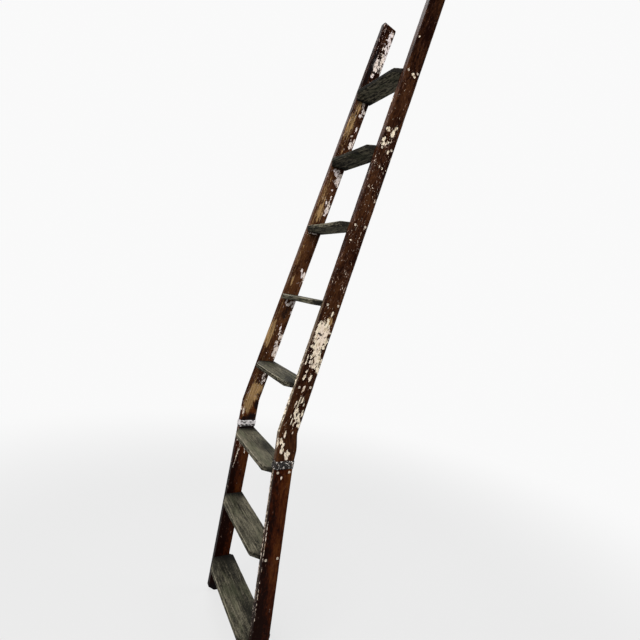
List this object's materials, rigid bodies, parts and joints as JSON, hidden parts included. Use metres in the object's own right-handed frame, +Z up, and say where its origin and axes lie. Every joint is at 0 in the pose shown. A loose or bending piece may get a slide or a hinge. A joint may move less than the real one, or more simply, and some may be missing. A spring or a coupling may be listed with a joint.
{
  "type": "library ladder",
  "caption": "Leaning wooden library ladder with bent, splayed, strapped stiles and housed flat treads, in chipped dark paint and weathered grey wood.",
  "frame": {"origin": "on the floor, in the middle of the ladder's outline seen from above", "axes": "+X towards the climber's right, +Y towards the wall that the ladder leans to, +Z up and square to the treads"},
  "size_m": [0.5958, 0.4746, 2.625],
  "materials": {
    "stile_paint": "chipped dark mahogany gloss paint over cream undercoat on wood",
    "lower_stile_paint": "worn red-brown varnish paint on wood",
    "tread_wood": "weathered grey bare wood",
    "steel_screw": "dull, partly filled and painted heads",
    "strap_metal": "dented galvanised sheet",
    "steel_nail": "dark round heads"
  },
  "bodies": {
    "root": {"left_lower_stile": "lower_stile_paint", "left_upper_stile": "stile_paint", "left_lap_screws": "steel_screw", "left_strap": "strap_metal", "left_strap_nails": "steel_nail", "right_lower_stile": "lower_stile_paint", "right_upper_stile": "stile_paint", "right_lap_screws": "steel_screw", "right_strap": "strap_metal", "right_strap_nails": "steel_nail", "tread_1": "tread_wood", "tread_1_screws": "steel_screw", "tread_2": "tread_wood", "tread_2_screws": "steel_screw", "tread_3": "tread_wood", "tread_3_screws": "steel_screw", "tread_4": "tread_wood", "tread_4_screws": "steel_screw", "tread_5": "tread_wood", "tread_5_screws": "steel_screw", "tread_6": "tread_wood", "tread_6_screws": "steel_screw", "tread_7": "tread_wood", "tread_7_screws": "steel_screw", "tread_8": "tread_wood", "tread_8_screws": "steel_screw"}
  },
  "joints": []
}
